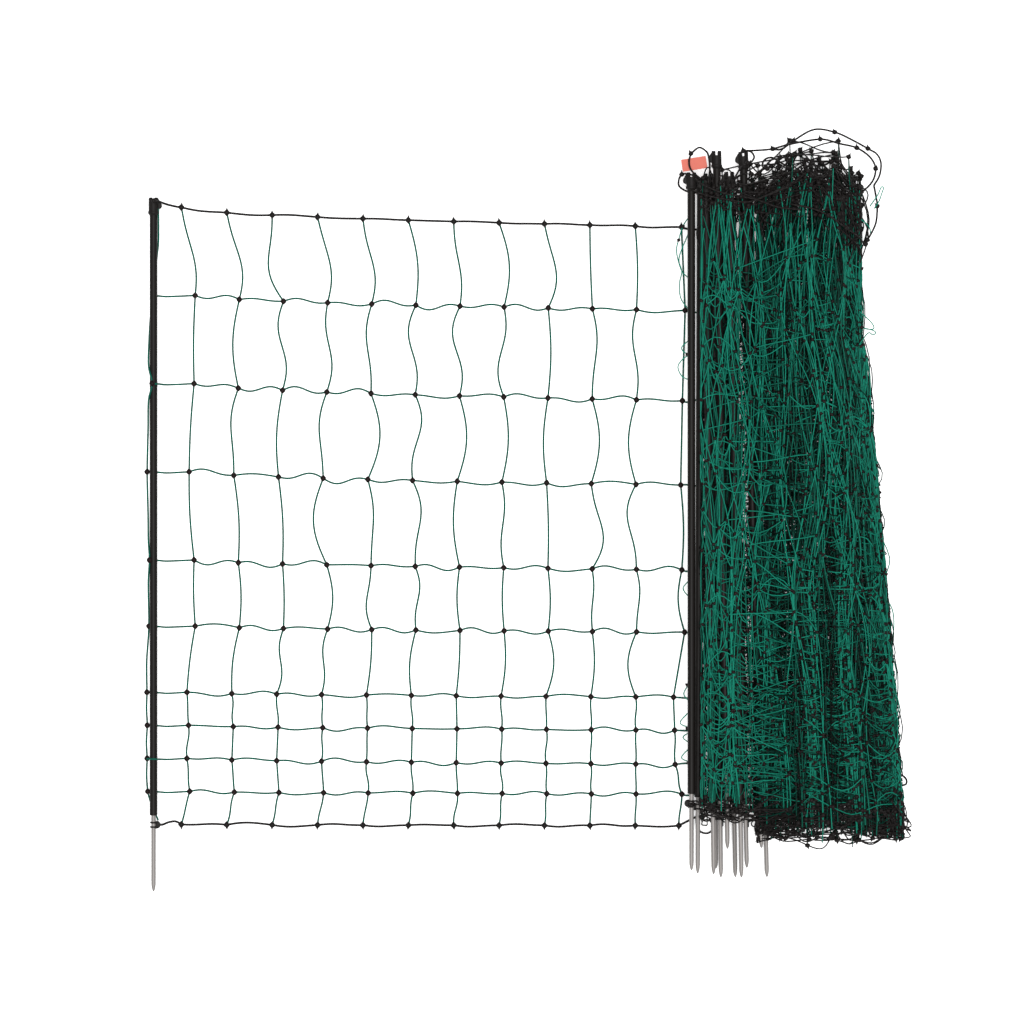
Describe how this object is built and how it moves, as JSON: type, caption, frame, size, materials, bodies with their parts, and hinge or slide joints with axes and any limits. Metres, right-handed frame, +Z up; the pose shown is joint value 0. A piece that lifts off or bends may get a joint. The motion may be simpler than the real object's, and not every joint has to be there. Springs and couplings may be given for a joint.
{
  "type": "poultry netting",
  "caption": "Knotted green poultry netting with black top and bottom lines and spiked plastic posts, one bay spread flat and the rest gathered over the other posts.",
  "frame": {"origin": "middle of the footprint, on the floor that the netting lies on", "axes": "+X from the left post along the net, +Y towards the post heads, +Z up from the floor"},
  "size_m": [1.3766, 1.3798, 0.098],
  "materials": {
    "black_plastic": "extruded and moulded black plastic, slightly shiny along the rod",
    "spike_steel": "drawn steel wire, satin",
    "green_twine": "twisted green twine with moulded black knots",
    "black_twine": "thicker twisted black cord with moulded knots",
    "tag_card": "bare salmon card"
  },
  "bodies": {
    "root": {"post_rod_01": "black_plastic", "post_spike_01": "spike_steel", "post_head_01": "black_plastic", "foot_clip_01": "black_plastic", "post_rod_02": "black_plastic", "post_spike_02": "spike_steel", "post_head_02": "black_plastic", "foot_clip_02": "black_plastic", "post_rod_03": "black_plastic", "post_spike_03": "spike_steel", "post_head_03": "black_plastic", "foot_clip_03": "black_plastic", "post_rod_04": "black_plastic", "post_spike_04": "spike_steel", "post_head_04": "black_plastic", "foot_clip_04": "black_plastic", "post_rod_05": "black_plastic", "post_spike_05": "spike_steel", "post_head_05": "black_plastic", "foot_clip_05": "black_plastic", "post_rod_06": "black_plastic", "post_spike_06": "spike_steel", "post_head_06": "black_plastic", "foot_clip_06": "black_plastic", "post_rod_07": "black_plastic", "post_spike_07": "spike_steel", "post_head_07": "black_plastic", "foot_clip_07": "black_plastic", "post_rod_08": "black_plastic", "post_spike_08": "spike_steel", "post_head_08": "black_plastic", "foot_clip_08": "black_plastic", "post_rod_09": "black_plastic", "post_spike_09": "spike_steel", "post_head_09": "black_plastic", "foot_clip_09": "black_plastic", "post_rod_10": "black_plastic", "post_spike_10": "spike_steel", "post_head_10": "black_plastic", "foot_clip_10": "black_plastic", "post_rod_11": "black_plastic", "post_spike_11": "spike_steel", "post_head_11": "black_plastic", "foot_clip_11": "black_plastic", "post_rod_12": "black_plastic", "post_spike_12": "spike_steel", "post_head_12": "black_plastic", "foot_clip_12": "black_plastic", "mesh_spread": "green_twine", "mesh_folds": "green_twine", "top_line_spread": "black_twine", "bottom_line_spread": "black_twine", "top_line_folds": "black_twine", "bottom_line_folds": "black_twine", "net_tag": "tag_card"}
  },
  "joints": []
}
